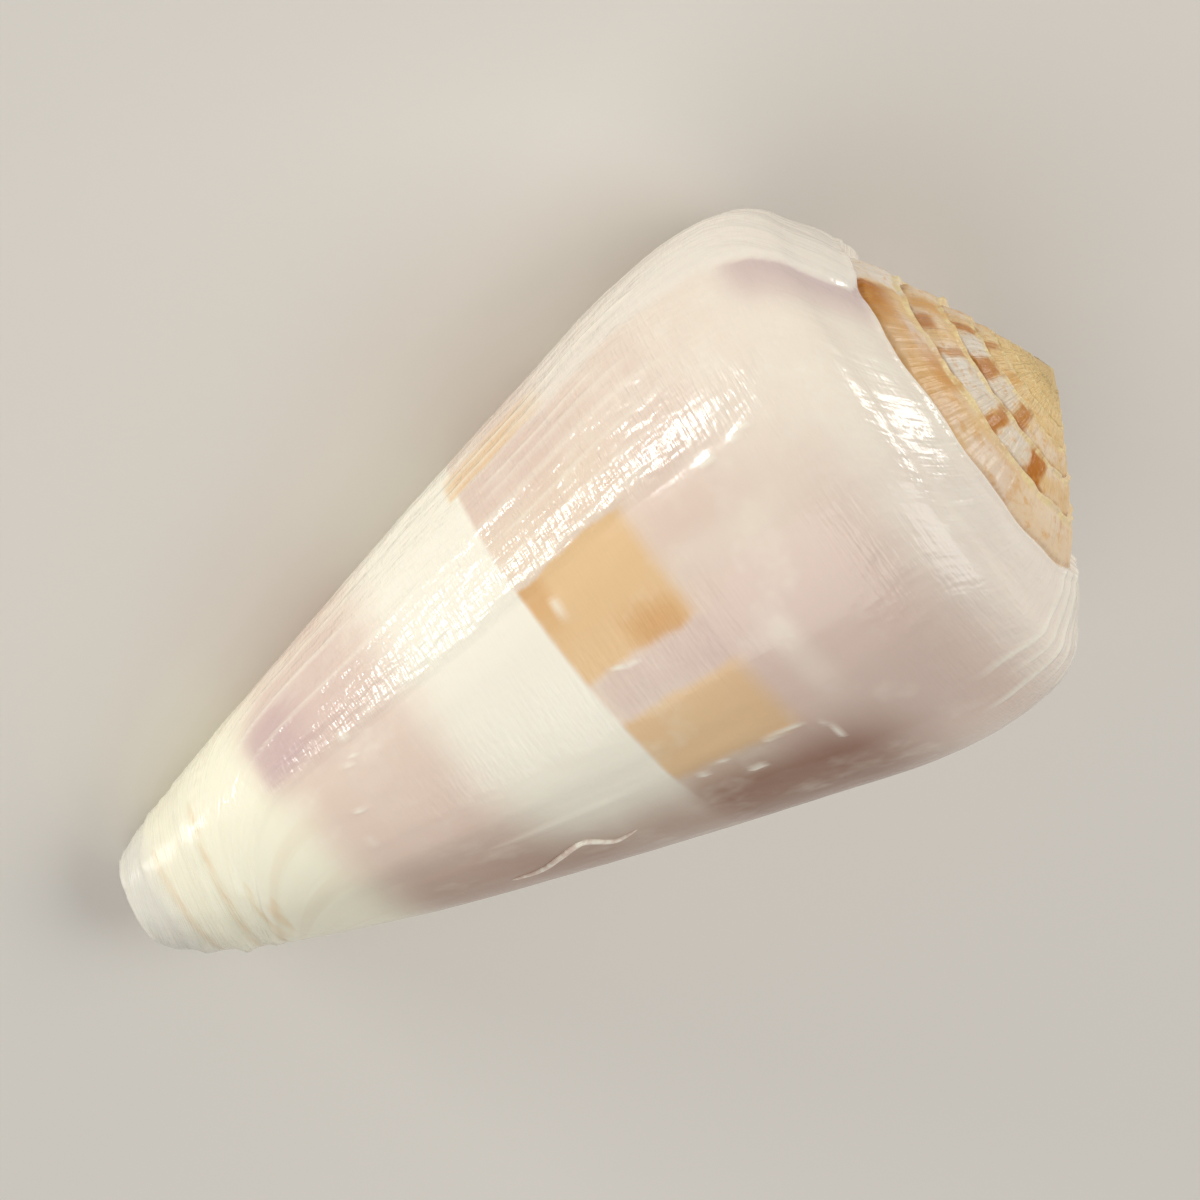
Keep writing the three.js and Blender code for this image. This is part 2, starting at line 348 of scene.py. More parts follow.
# Raised growth ridges: growth line in turns, x where it starts and ends, half width in turns,
# height in mm
GROWTH_RIDGES = (
    (0.128, 9.0, 47.0, 0.004, 0.10),
    (0.143, 28.0, 40.0, 0.003, 0.08),
    (0.153, 30.0, 44.0, 0.0025, 0.06),
    (0.160, 9.0, 22.0, 0.005, 0.08),
    (0.169, 31.0, 43.0, 0.003, 0.07),
    (0.181, 31.0, 45.0, 0.003, 0.06),
    (0.196, 11.0, 46.0, 0.004, 0.06),
    (0.214, 31.0, 46.0, 0.003, 0.05),
    (0.231, 22.0, 46.0, 0.003, 0.05),
    (0.247, 26.0, 44.0, 0.003, 0.07),
    (0.418, 20.0, 31.5, 0.004, 0.05),
    (0.456, 49.0, 60.0, 0.004, 0.12),
    (0.472, 50.0, 60.0, 0.004, 0.10),
    (0.490, 48.0, 60.0, 0.005, 0.14),
    (0.513, 51.0, 60.0, 0.004, 0.10),
    (0.541, 50.0, 60.0, 0.005, 0.12),
    (0.575, 49.0, 60.0, 0.005, 0.12),
)
RIDGE_FADE = 2.5

# Low folds round the front end: turns and x of the crest, its slope per turn, the turns over which
# it fades in and out, its half width and its height, in mm
FRONT_FOLDS = (
    (0.33, 5.2, -5.5, 0.12, 0.60, 0.8, 0.30),
    (0.39, 6.5, -5.0, 0.28, 0.56, 0.6, 0.26),
    (0.42, 7.4, -6.0, 0.32, 0.54, 0.5, 0.22),
    (0.32, 2.2, -0.5, 0.15, 0.70, 0.8, 0.22),
)
FOLD_FADE = 0.08
CREASE_FAR = 9.0

# Crooked raised scar: points of its path as turns and x, then half width and height in mm
SCAR_PATH = ((0.462, 28.6), (0.4665, 27.2), (0.452, 25.6), (0.461, 24.0), (0.474, 22.3), (0.478, 20.4))
SCAR_WIDTH = 0.19
SCAR_HEIGHT = 0.24
SCAR_SIDES = 10
SCAR_STEP = 0.12

# Short raised ticks and dots: points as turns and x, then half width and height in mm
TICKS = (
    (((0.2725, 33.0), (0.295, 33.25)), 0.16, 0.08),
    (((0.330, 33.7), (0.335, 35.0)), 0.18, 0.10),
    (((0.425, 38.1), (0.4225, 40.3)), 0.22, 0.10),
    (((0.4275, 41.5), (0.445, 41.8)), 0.22, 0.10),
    (((0.265, 44.5), (0.2645, 45.2)), 0.26, 0.12),
    (((0.263, 46.6), (0.259, 47.9)), 0.20, 0.10),
    (((0.24, 17.5), (0.27, 18.2), (0.28, 17.2)), 0.20, 0.10),
    (((0.248, 19.9), (0.246, 21.8)), 0.20, 0.08),
    (((0.3225, 16.2), (0.3235, 16.5)), 0.28, 0.14),
    (((0.350, 15.6), (0.362, 15.6)), 0.22, 0.10),
    (((0.430, 33.8), (0.431, 34.1)), 0.28, 0.14),
    (((0.425, 35.2), (0.426, 35.5)), 0.24, 0.12),
    (((0.445, 36.4), (0.445, 36.9)), 0.28, 0.14),
)
TICK_RADIUS = 12.0

# How pale a ridge or a tick is, and the height in mm at which it is fully so
PALE_RIDGE = 0.7
PALE_TICK = 0.85
PALE_HEIGHT = 0.10

# Last layer laid down at the shoulder, ending in a rounded flap: x and the turns of its edge
FLAP_EDGE_X = (44.0, 50.0, 52.5, 54.0, 55.0, 55.6, 55.9, 56.2)
FLAP_EDGE_TURNS = (0.150, 0.155, 0.160, 0.168, 0.178, 0.181, 0.172, 0.15)
FLAP_EDGE_WIDTH = 0.006
FLAP_START = 44.0
FLAP_REACH = 7.0
FLAP_HEIGHT = 0.3

# Painted violet shadow just beyond the flap's edge: where it starts along the axis, then its sides in
# turns
FLAP_SHADOW_START = 49.5
FLAP_SHADOW_REACH = 2.5
FLAP_SHADOW_EDGE = 0.004
FLAP_SHADOW_WIDTH = 0.055
FLAP_SHADOW_FADE = 0.045


def ridge_height(line, x):
    height = np.zeros(np.broadcast(line, x).shape)
    for at, start, end, width, tall in GROWTH_RIDGES:
        reach = within(x, start, end, RIDGE_FADE)
        height = np.maximum(height, tall * reach * bump((line - at) / width))
    return height


def fold_height(turns, x):
    height = np.zeros(np.broadcast(turns, x).shape)
    for at, crest, slope, start, end, width, tall in FRONT_FOLDS:
        reach = within(turns, start, end, FOLD_FADE)
        height = np.maximum(height, tall * reach * bump((x - crest - slope * (turns - at)) / width))
    return height


def tick_height(turns, x):
    """Height of the short ticks, each a rounded ridge along its points."""
    around = turns * TURN * TICK_RADIUS
    height = np.zeros(np.broadcast(turns, x).shape)
    for points, width, tall in TICKS:
        for (t0, x0), (t1, x1) in zip(points, points[1:]):
            a = np.array([t0 * TURN * TICK_RADIUS, x0])
            d = np.array([t1 * TURN * TICK_RADIUS, x1]) - a
            share = unit(((around - a[0]) * d[0] + (x - a[1]) * d[1]) / (d @ d))
            away = np.hypot(around - a[0] - share * d[0], x - a[1] - share * d[1])
            height = np.maximum(height, tall * bump(away / width))
    return height


def flap_edge(x):
    return np.interp(x, FLAP_EDGE_X, FLAP_EDGE_TURNS)


def flap_share(turns, x):
    reach = smooth((x - FLAP_START) / FLAP_REACH)
    return reach * smooth((flap_edge(x) - turns) / FLAP_EDGE_WIDTH + 0.5)


def side_height(turns, x):
    """Height of the last whorl's surface relief in millimetres: rougher on the part laid down last."""
    line = growth_line(turns, x)
    young = smooth((YOUNG_TURNS - turns) / 0.02) * smooth((turns + 0.02) / 0.05)
    young = 1.0 + YOUNG_EXTRA * young
    calm = smooth((x - CALM_FRONT) / CALM_FRONT)
    lines = layer(line, x, *COARSE_LINES) + layer(line, x, *FINE_LINES) * calm
    threads = cross_layer(x, line, *THREADS) * young
    swell = layer(turns, x, *WIDE_SWELL) + layer(turns, x, *NARROW_SWELL)
    height = lines * young + threads + swell + ridge_height(line, x) + tick_height(turns, x)
    return height + fold_height(turns, x) + FLAP_HEIGHT * flap_share(turns, x)


def band_swell(share, width):
    return WHORL_SWELL * width * np.sin(np.pi * unit(share) ** LEDGE_POWER)


def band_height(turns, share, width):
    """Relief of an exposed band of the spire: ribs, a thin inner ledge and a groove at the outer edge."""
    line = turns - BAND_LINE_SWEEP * share
    ribs = sum(cross_layer(line, share, *rib) for rib in BAND_RIBS)
    lumps = cross_layer(line, share, *BAND_LUMPS)
    uneven = 1.0 + cross_layer(line, 1.0, *BAND_UNEVEN)
    ledge = LEDGE_HEIGHT * bump((share - LEDGE_SHARE) / LEDGE_WIDTH) * uneven
    groove = GROOVE_DEPTH * smooth(1.0 - share / GROOVE_WIDTH)
    size = np.clip(width / FULL_RELIEF_WIDTH, 0.25, 1.0)
    fade = smooth(share / GROOVE_WIDTH) * smooth((1.0 - share) / 0.06)
    return band_swell(share, width) + ((ribs + lumps) * fade + ledge - groove) * size


OUTSIDE, SPIRE, INSIDE, SCAR = range(4)


class Patches:
    """Grids of points, with the places and the relief that go with them."""

    def __init__(self):
        self.points = []
        self.heights = []
        self.places = []
        self.faces = []
        self.zones = []
        self.count = 0

    def add(self, points, height, where):
        """Adds points with their relief in millimetres and their place on the shell."""
        shape = points.shape[:-1]
        self.points.append(points.reshape(-1, 3))
        self.heights.append(np.broadcast_to(height, shape).reshape(-1))
        self.places.append(np.stack([np.broadcast_to(value, shape).reshape(-1) for value in where], -1))
        first = self.count
        self.count += int(np.prod(shape))
        return np.arange(first, self.count).reshape(shape)

    def grid(self, index, zone):
        """Quads facing outward: columns in order round the axis, rows from the front to the apex."""
        quads = np.stack([index[:-1, :-1], index[1:, :-1], index[1:, 1:], index[:-1, 1:]], -1)
        self.faces.append(quads.reshape(-1, 4))
        self.zones.append(np.full(quads.shape[0] * quads.shape[1], zone))

    def stitch(self, coarse, fine, ratio, zone):
        """Triangles between a coarse row and the finer row outside it."""
        triangles = []
        for i in range(len(coarse) - 1):
            first = i * ratio
            for j in range(first, first + ratio):
                triangles.append((coarse[i], fine[j + 1], fine[j], fine[j]))
            triangles.append((coarse[i], coarse[i + 1], fine[first + ratio], fine[first + ratio]))
        self.faces.append(np.array(triangles))
        self.zones.append(np.full(len(triangles), zone))


def turn_steps(start, end, every=1):
    """Whole numbers of turns divided into steps, finer over the open part of each turn."""
    open_part = np.linspace(0.0, APERTURE_TURNS, APERTURE_STEPS + 1)[:-1]
    closed_part = np.linspace(APERTURE_TURNS, 1.0, CLOSED_STEPS + 1)[:-1]
    turn = np.concatenate([open_part, closed_part])[::every]
    whole = np.concatenate([turn + count for count in range(SPIRE_WHORLS + 2)])
    return whole[(whole > start - TOLERANCE) & (whole < end + TOLERANCE)]


def shared_rows():
    body = np.linspace(0.0, 1.0, BODY_ROWS + 1)
    shoulder = np.linspace(1.0, CHAMBER_TOP, SHOULDER_ROWS + 1)[1:]
    return np.concatenate([body, shoulder])


def outside_rows():
    attach = attach_across()
    roof = np.linspace(CHAMBER_TOP, attach, ROOF_ROWS + 1)[1:]
    ramp = mix(attach, 3.0, np.array(BAND_SHARES[1:]))
    return np.concatenate([shared_rows(), roof, ramp])


def row_label(across):
    """A row's distance along the axis where it faces up, in centimetres."""
    return whorl_point(LABEL_TURNS, across)[0] / CM


def outside_height(turns, across):
    """Relief of the last whorl, which becomes that of the spire's first band near its older end."""
    attach = attach_across()
    share = unit((across - attach) / (3.0 - attach))
    old = smooth((turns - OLD_START) / (1.0 - OLD_START))
    width = suture(turns - 1.0)[1] - suture(turns)[1]
    side = side_height(turns, row_label(across) * CM) * smooth((3.0 - across) / 0.08)
    side = side + band_swell(share, width)
    rim = RIM_HEIGHT * bump((across - RIM_ACROSS) / RIM_WIDTH)
    band = band_height(turns - 1.0, share, width)
    return mix(side + rim, mix(side, band, smooth(share / 0.05)), old)


def add_outside(patches):
    turns, across = np.meshgrid(turn_steps(0, 1), outside_rows(), indexing="ij")
    points = place(turns, *whorl_point(turns, across))
    label = row_label(across)
    where = (growth_line(turns, label * CM), label)
    index = patches.add(points, outside_height(turns, across), where)
    patches.grid(index, OUTSIDE)


def add_spire(patches):
    turns, share = np.meshgrid(turn_steps(0, SPIRE_WHORLS), BAND_SHARES, indexing="ij")
    outer_x, outer_r = suture(turns)
    inner_x, inner_r = suture(turns + 1.0)
    points = place(turns, mix(outer_x, inner_x, share), mix(outer_r, inner_r, share))
    band = patches.add(points, band_height(turns, share, outer_r - inner_r), (turns, share))
    patches.grid(band, SPIRE)
    turns = turn_steps(SPIRE_WHORLS, SPIRE_WHORLS + 1)
    edge_x, edge_r = suture(turns)
    edge = place(turns, edge_x, edge_r)
    apex = np.broadcast_to([SHELL_LENGTH, 0.0, 0.0], edge.shape)
    tip = patches.add(np.stack([edge, apex], 1), 0.0, (turns[:, None], [[0.0, 1.0]]))
    patches.grid(tip, SPIRE)
    patches.grid(np.stack([band[-1], np.full(len(BAND_SHARES), tip[0, 1])]), SPIRE)


def front_edges(turns):
    """Where the wall ends inside, and the radius of the pillar, round the front end."""
    is_open = turns <= APERTURE_TURNS + TOLERANCE
    left = unit((1.0 - turns) / (1.0 - APERTURE_TURNS))
    closed_r = front_radius(1.0 + APERTURE_TURNS * left)
    wall_x, wall_r = chamber_point(turns, np.zeros_like(turns))
    pillar_r = np.where(is_open, front_radius(turns + 1.0), closed_r)
    return np.where(is_open, wall_x, 0.0), np.where(is_open, wall_r, closed_r), pillar_r


def add_front(patches):
    """Rounded end of the last whorl's wall and the domed end of the pillar."""
    coarse = turn_steps(0, 1, CHAMBER_STEP)[:, None]
    wall_x, wall_r, pillar_r = front_edges(coarse)
    x = -FRONT_DOME * np.array([[1.0, 0.75, 0.0]])
    points = place(coarse, x, pillar_r * np.array([[0.0, 0.5, 1.0]]))
    dome = patches.add(points, 0.0, (coarse, x / CM))
    patches.grid(dome, INSIDE)

    fine = turn_steps(0, 1)[:, None]
    fine_x, fine_r, _ = front_edges(fine)
    rim_r = front_radius(fine)
    rows = np.linspace(0.0, 1.0, FRONT_ROWS + 1)[None, 1:]
    x = fine_x * (1.0 - rows) - (rim_r - fine_r) * FRONT_ROUNDING * np.sin(np.pi * rows)
    height = outside_height(fine, 0.0 * fine) * rows
    end = patches.add(place(fine, x, mix(fine_r, rim_r, rows)), height, (fine, x / CM))
    patches.grid(end, OUTSIDE)
    wall = patches.add(place(coarse, wall_x, wall_r), 0.0, (coarse, wall_x / CM))[:, 0]
    patches.stitch(wall, end[:, 0], CHAMBER_STEP, INSIDE)
    return np.concatenate([wall[:1], end[0]])


def add_chamber(patches):
    steps = turn_steps(0, APERTURE_TURNS, CHAMBER_STEP)
    turns, across = np.meshgrid(steps, shared_rows(), indexing="ij")
    x, r = chamber_point(turns, across)
    wall = patches.add(place(turns, x, r), 0.0, (turns, x / CM))
    patches.grid(wall[::-1], INSIDE)
    x, r = whorl_point(turns + 1.0, across)
    height = outside_height(np.ones_like(across), across) * smooth(1.0 - turns / 0.1)
    pillar = patches.add(place(turns, x, r), height, (turns + 1.0, x / CM))
    patches.grid(pillar, INSIDE)


def rounded_path(points, step):
    """Points along a smooth curve through the given ones, and the share of its length at each."""
    points = np.array(points)
    length = np.concatenate([[0.0], np.cumsum(np.hypot(*np.diff(points, axis=0).T))])
    share = np.linspace(0.0, 1.0, max(int(length[-1] / step), 6) + 1)
    at = share * length[-1]
    slopes = np.gradient(points, length, axis=0)
    i = np.clip(np.searchsorted(length, at, side="right") - 1, 0, len(length) - 2)
    span = length[i + 1] - length[i]
    t = ((at - length[i]) / span)[:, None]
    first = points[i] + slopes[i] * span[:, None] / 3.0
    second = points[i + 1] - slopes[i + 1] * span[:, None] / 3.0
    return bezier(points[i], first, second, points[i + 1], t), share


def surface_point(turns, x):
    """The side of the last whorl, without relief, by turns and by distance along the axis."""
    rows = shared_rows()
    return place(turns, *whorl_point(turns, np.interp(x, row_label(rows) * CM, rows)))


def surface_normal(turns, x):
    turn_step, x_step = 0.001, 0.1
    around = surface_point(turns + turn_step, x) - surface_point(turns - turn_step, x)
    ahead = surface_point(turns, x + x_step) - surface_point(turns, x - x_step)
    normal = np.cross(around, ahead)
    return normal / np.linalg.norm(normal, axis=-1, keepdims=True)


def add_scar(patches):
    """A closed, tapered thread along the scar's path, half sunk in the surface."""
    angle = np.linspace(0.0, TURN, SCAR_SIDES + 1)
    path, share = rounded_path([(turns * TURN * TICK_RADIUS, x) for turns, x in SCAR_PATH], SCAR_STEP)
    taper = np.sqrt(unit(4.0 * share * (1.0 - share)))[:, None]
    ahead = np.gradient(path, axis=0)
    ahead = ahead / np.linalg.norm(ahead, axis=1)[:, None]
    out = SCAR_WIDTH * taper * np.cos(angle)
    turns = (path[:, :1] - ahead[:, 1:] * out) / (TURN * TICK_RADIUS)
    x = path[:, 1:] + ahead[:, :1] * out
    height = side_height(turns, x) + SCAR_HEIGHT * taper * np.sin(angle)
    surface = surface_point(turns, x) + surface_normal(turns, x) * height[..., None]
    index = patches.add(surface, 0.0, (turns, x / CM))
    patches.grid(index[:, ::-1], SCAR)


def add_lip(patches, wall_end):
    """Rounded edge of the outer lip, from its outside to its inside."""
    rows = outside_rows()
    outer = place(0.0, *whorl_point(0.0, rows))
    inner = place(0.0, *chamber_point(0.0, np.minimum(rows, CHAMBER_TOP)))
    roof = place(1.0, *whorl_point(1.0, np.linspace(CHAMBER_TOP, attach_across(), ROOF_ROWS + 1)))
    columns = []
    for count in range(ROOF_ROWS + 1):
        angle = np.pi * count / ROOF_ROWS
        middle = mix(outer, inner, 0.5 - 0.5 * math.cos(angle))
        forward = np.stack([0.0 * rows, middle[:, 2], -middle[:, 1]], -1)
        forward = forward / np.linalg.norm(forward, axis=1)[:, None]
        column = middle + forward * LIP_THICKNESS * LIP_ROUNDING * math.sin(angle)
        column[-1] = roof[ROOF_ROWS - count]
        columns.append(column)
    columns = np.stack(columns[::-1])
    height = outside_height(0.0, rows)[None, :] * np.linspace(0.0, 1.0, ROOF_ROWS + 1)[:, None]
    label = np.broadcast_to(row_label(rows), columns.shape[:2])
    index = patches.add(columns, height, (0.0, label))
    patches.grid(index, OUTSIDE)
    patches.grid(np.stack([index[:, 0], wall_end]), OUTSIDE)


def weld(patches):
    """Joined points and their relief, faces, and each face corner's own place and zone."""
    points = np.concatenate(patches.points)
    keys = np.round(points / WELD_DISTANCE).astype(np.int64)
    _, first, joined = np.unique(keys, axis=0, return_index=True, return_inverse=True)
    joined = joined.reshape(-1)
    heights = np.bincount(joined, np.concatenate(patches.heights)) / np.bincount(joined)
    quads = np.concatenate(patches.faces)
    ids = joined[quads]
    new = np.stack([ids[:, k] != ids[:, k - 1] for k in range(4)], 1)
    good = new.sum(1) > 2
    faces = [row[keep].tolist() for row, keep in zip(ids[good], new[good])]
    corners = quads[good][new[good]]
    places = np.concatenate(patches.places)[corners]
    return points[first], heights, faces, places, np.concatenate(patches.zones)[good]


def rest_matrix():
    """Rolls the shell on to its lip and raises the spire end, as it lies in the photo."""
    return np.array(Matrix.Rotation(-REST_LEAN, 3, "Y") @ Matrix.Rotation(REST_ROLL, 3, "X"))


def settle(points):
    """The rest pose in metres, centred on the solid's box and standing on its floor."""
    turned = points @ rest_matrix().T
    low = turned.min(0)
    high = turned.max(0)
    shift = np.array([-(low[0] + high[0]) / 2.0, -(low[1] + high[1]) / 2.0, -low[2]])
    corner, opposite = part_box("shell")
    middle = (corner + opposite) / 2.0
    return (turned + shift) * MM + np.array([middle.x, middle.y, corner.z])


def make_mesh(name, points, faces, corner_values, zones):
    mesh = bpy.data.meshes.new(name)
    mesh.from_pydata(points.tolist(), [], faces)
    layer = mesh.uv_layers.new(name="Shell")
    layer.data.foreach_set("uv", corner_values.astype(np.float32).ravel())
    mesh.polygons.foreach_set("material_index", zones.astype(np.int32))
    mesh.polygons.foreach_set("use_smooth", np.ones(len(faces), dtype=bool))
    mesh.update()
    return mesh


def vertex_normals(mesh):
    normals = np.zeros(len(mesh.vertices) * 3, np.float32)
    mesh.vertices.foreach_get("normal", normals)
    return normals.reshape(-1, 3).astype(float)


def raised_share(turns, line, x):
    """How far a corner stands on a raised pale ridge or tick, from 0 to 1."""
    ridges = unit(ridge_height(line, x) / PALE_HEIGHT) * PALE_RIDGE
    return np.maximum(ridges, unit(tick_height(turns, x) / PALE_HEIGHT) * PALE_TICK)


def crease_distance(turns, x):
    """Distance in mm from the nearest crease behind a front fold, larger where the fold fades."""
    distance = np.full(turns.shape, CREASE_FAR)
    for at, crest, slope, start, end, width, _ in FRONT_FOLDS:
        away = np.abs(x - crest - slope * (turns - at) - width)
        distance = np.minimum(distance, away + (1.0 - within(turns, start, end, FOLD_FADE)))
    return distance


def flap_shadow_share(turns, x):
    """How deep a corner lies in the painted violet shadow just beyond the flap's edge, from 0 to 1."""
    beyond = turns - flap_edge(x)
    inside = smooth(beyond / FLAP_SHADOW_EDGE) * smooth((FLAP_SHADOW_WIDTH - beyond) / FLAP_SHADOW_FADE)
    return smooth((x - FLAP_SHADOW_START) / FLAP_SHADOW_REACH) * inside


def add_corner_values(mesh, name, values):
    layer = mesh.attributes.new(name, "FLOAT", "CORNER")
    layer.data.foreach_set("value", values.astype(np.float32))


def build_shell_mesh():
    patches = Patches()
    add_outside(patches)
    add_spire(patches)
    wall_end = add_front(patches)
    add_chamber(patches)
    add_lip(patches, wall_end)
    add_scar(patches)
    points, heights, faces, places, zones = weld(patches)
    settled = settle(points)
    mesh = make_mesh("shell_surface", settled, faces, places, zones)
    outside = np.repeat(zones, [len(face) for face in faces]) == OUTSIDE
    line, x = places[:, 0], places[:, 1] * CM
    turns = line - growth_line(0.0, x)
    add_corner_values(mesh, "Raised", np.where(outside, raised_share(turns, line, x), 0.0))
    add_corner_values(mesh, "Crease", np.where(outside, crease_distance(turns, x), CREASE_FAR))
    # Share of the painted shadow beside the flap
    add_corner_values(mesh, "Seam", np.where(outside, flap_shadow_share(turns, x), 0.0))
    add_corner_values(mesh, "Flap", np.where(outside, flap_share(turns, x), 0.0))
    raised = settled + vertex_normals(mesh) * heights[:, None] * MM
    raised[:, 2] = np.maximum(raised[:, 2], 0.0)
    mesh.vertices.foreach_set("co", raised.astype(np.float32).ravel())
    mesh.update()
    return mesh


def tone(red, green, blue):
    """A colour as seen on screen, 0 to 255, as the linear colour that shaders use."""
    shares = [value / 255.0 for value in (red, green, blue)]
    return tuple(s / 12.92 if s <= 0.04045 else ((s + 0.055) / 1.055) ** 2.4 for s in shares)


def solid(colour):
    """The colour with full cover, as colour sockets take it."""
    return (*colour[:3], 1.0)


class Graph:
    """Short calls for building a node tree, with a material's place on the shell and colour so far."""

    def __init__(self, tree, colours=None):
        self.tree = tree
        self.colours = colours
        self.place = ()
        self.colour = None

    def add(self, kind, inputs, **settings):
        node = self.tree.nodes.new(kind)
        for name, value in settings.items():
            setattr(node, name, value)
        for socket, value in inputs.items():
            self.put(node.inputs[socket], value)
        return node

    def put(self, socket, value):
        if isinstance(value, bpy.types.NodeSocket):
            self.tree.links.new(value, socket)
        else:
            socket.default_value = value

    def math(self, operation, a, b=0.0):
        return self.add("ShaderNodeMath", {0: a, 1: b}, operation=operation).outputs[0]

    def times(self, a, b):
        return self.math("MULTIPLY", a, b)

    def scaled(self, value, start, end, low=0.0, high=1.0):
        """A soft step from low to high while the value goes from start to end."""
        inputs = {"Value": value, "From Min": start, "From Max": end, "To Min": low, "To Max": high}
        return self.add("ShaderNodeMapRange", inputs, interpolation_type="SMOOTHSTEP").outputs["Result"]

    def noise(self, x, y, z, detail=2.0, roughness=0.5):
        vector = self.add("ShaderNodeCombineXYZ", {0: x, 1: y, 2: z}).outputs[0]
        inputs = {"Vector": vector, "Scale": 1.0, "Detail": detail, "Roughness": roughness}
        return self.add("ShaderNodeTexNoise", inputs).outputs["Fac"]

    def pattern(self, first_rate, second_rate, *shape):
        """Noise over the place on the shell, with a rate for each of its two values."""
        first, second = self.place
        return self.noise(self.times(first, first_rate), self.times(second, second_rate), *shape)

    def attribute(self, name):
        return self.add("ShaderNodeAttribute", {}, attribute_name=name).outputs["Fac"]

    def mix(self, share, a, b):
        return self.add("ShaderNodeMix", {"Factor": share, 6: a, 7: b}, data_type="RGBA").outputs[2]

    def coat(self, share, name):
        """Lays one of the shell's colours over the colour so far."""
        self.colour = self.mix(share, self.colour, solid(getattr(self.colours, name)))


def new_group(name, inputs, outputs):
    """An empty node group with named sockets, and its input and output nodes."""
    tree = bpy.data.node_groups.new(name, "ShaderNodeTree")
    kinds = {float: "NodeSocketFloat", tuple: "NodeSocketColor"}
    for label, default in inputs.items():
        socket = tree.interface.new_socket(label, in_out="INPUT", socket_type=kinds[type(default)])
        socket.default_value = default
    for label, kind in outputs.items():
        tree.interface.new_socket(label, in_out="OUTPUT", socket_type=kinds[kind])
    return Graph(tree), tree.nodes.new("NodeGroupInput").outputs, tree.nodes.new("NodeGroupOutput").inputs


# Edges of a marking, each with the value that it bounds
EDGES = {"Start": "Growth", "End": "Growth", "Low": "Along", "High": "Along"}


def marking_group():
    """Paints a tint over the box between two growth lines and two distances, with soft sides."""
    white = (1.0, 1.0, 1.0, 1.0)
    inputs = {"Colour": white, "Growth": 0.0, "Along": 0.0}
    for edge in EDGES:
        inputs.update({edge: 0.0, edge + " Softness": 1.0})
    inputs.update({"Tint": white, "Strength": 1.0})
    graph, given, result = new_group("Marking", inputs, {"Colour": tuple})
    mask = given["Strength"]
    for edge, value in EDGES.items():
        soft = given[edge + " Softness"]
        before = graph.math("SUBTRACT", given[edge], soft)
        after = graph.math("ADD", given[edge], soft)
        inside = (0.0, 1.0) if edge in ("Start", "Low") else (1.0, 0.0)
        mask = graph.times(mask, graph.scaled(given[value], before, after, *inside))
    graph.put(result["Colour"], graph.mix(mask, given["Colour"], given["Tint"]))
    return graph.tree


def growth_group():
    """Fine relief of growth lines crossed by spiral threads, in mm, and pale streaks along the lines."""
    graph, given, result = new_group("Growth lines", {
        "Growth": 0.0, "Along": 0.0, "Line Density": 150.0, "Thread Density": 1.6,
        "Line Height": 0.02, "Thread Height": 0.01,
    }, {"Height": float, "Streaks": float})
    across = graph.times(given["Growth"], given["Line Density"])
    along = graph.times(given["Along"], given["Thread Density"])
    lines = graph.noise(across, graph.times(along, 0.12), 1.0)
    threads = graph.noise(graph.times(across, 0.6), along, 5.0)
    lines = graph.times(lines, given["Line Height"])
    threads = graph.times(threads, given["Thread Height"])
    graph.put(result["Height"], graph.math("ADD", lines, threads))
    streaks = graph.noise(graph.times(across, 0.25), graph.times(along, 0.06), 9.0, 3.0, 0.6)
    graph.put(result["Streaks"], graph.scaled(streaks, 0.52, 0.72))
    return graph.tree


